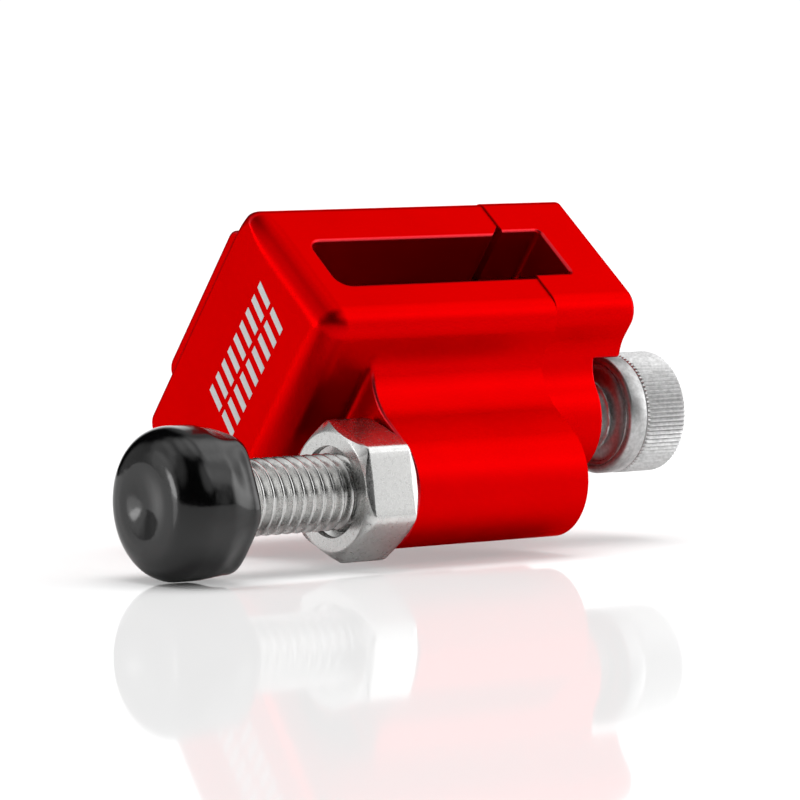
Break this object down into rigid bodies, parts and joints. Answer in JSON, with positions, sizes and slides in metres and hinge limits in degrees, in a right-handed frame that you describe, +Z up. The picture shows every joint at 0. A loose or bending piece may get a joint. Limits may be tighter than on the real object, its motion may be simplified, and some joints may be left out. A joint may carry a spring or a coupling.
{
  "type": "adjustable pedal stop clamp",
  "caption": "Two-piece aluminium clamp that closes round a flat pedal arm and carries a capped stop bolt held by a jam nut.",
  "frame": {"origin": "centre of the bounding box's footprint, on the surface that the part lies on", "axes": "+X along the stop bolt and the clamp screws, from the cap towards the screw heads; +Y to the back; +Z up. The clamp's slot leans 37.7 degrees from upright in the YZ plane, its top towards -Y"},
  "size_m": [0.0708, 0.0384, 0.0363],
  "materials": {
    "anodised": "bright red satin anodised, machined",
    "screw_steel": "matt stainless, knurled heads",
    "bolt_steel": "bright stainless, rolled thread",
    "vinyl": "glossy black soft vinyl"
  },
  "bodies": {
    "clamp_body": {"body": "anodised"},
    "jaw_body": {"jaw": "anodised"},
    "front_screw": {"front_clamp_screw": "screw_steel"},
    "rear_screw": {"rear_clamp_screw": "screw_steel"},
    "cap": {"bolt_cap": "vinyl"},
    "bolt": {"stop_bolt": "bolt_steel"},
    "nut": {"jam_nut": "bolt_steel"}
  },
  "joints": [
    {"name": "jaw_slide", "type": "slide", "parent": "clamp_body", "child": "jaw_body", "axis": [1, 0, 0], "range_m": [0, 0.0075]},
    {"name": "front_screw_turn", "type": "hinge", "parent": "jaw_body", "child": "front_screw", "pos_m": [0.0274, -0.00495, 0.01369], "axis": [1, 0, 0], "range_deg": [0, 2160]},
    {"name": "rear_screw_turn", "type": "hinge", "parent": "jaw_body", "child": "rear_screw", "pos_m": [0.0243, 0.00866, 0.02421], "axis": [1, 0, 0], "range_deg": [0, 3400]},
    {"name": "stop_travel", "type": "slide", "parent": "clamp_body", "child": "cap", "axis": [-1, 0, 0], "range_m": [-0.0064, 0.0064]},
    {"name": "stop_bolt_turn", "type": "hinge", "parent": "cap", "child": "bolt", "pos_m": [-0.0263, -0.01116, 0.008], "axis": [-1, 0, 0], "range_deg": [-1800, 1800]},
    {"name": "jam_nut_slide", "type": "slide", "parent": "clamp_body", "child": "nut", "axis": [-1, 0, 0], "range_m": [0, 0.0065]}
  ],
  "couplings": [
    {"joint": "front_screw_turn", "follows": "jaw_slide", "rad_per_m": 5026.5},
    {"joint": "rear_screw_turn", "follows": "jaw_slide", "rad_per_m": 7854},
    {"joint": "stop_travel", "follows": "stop_bolt_turn", "m_per_rad": 0.00019894}
  ]
}
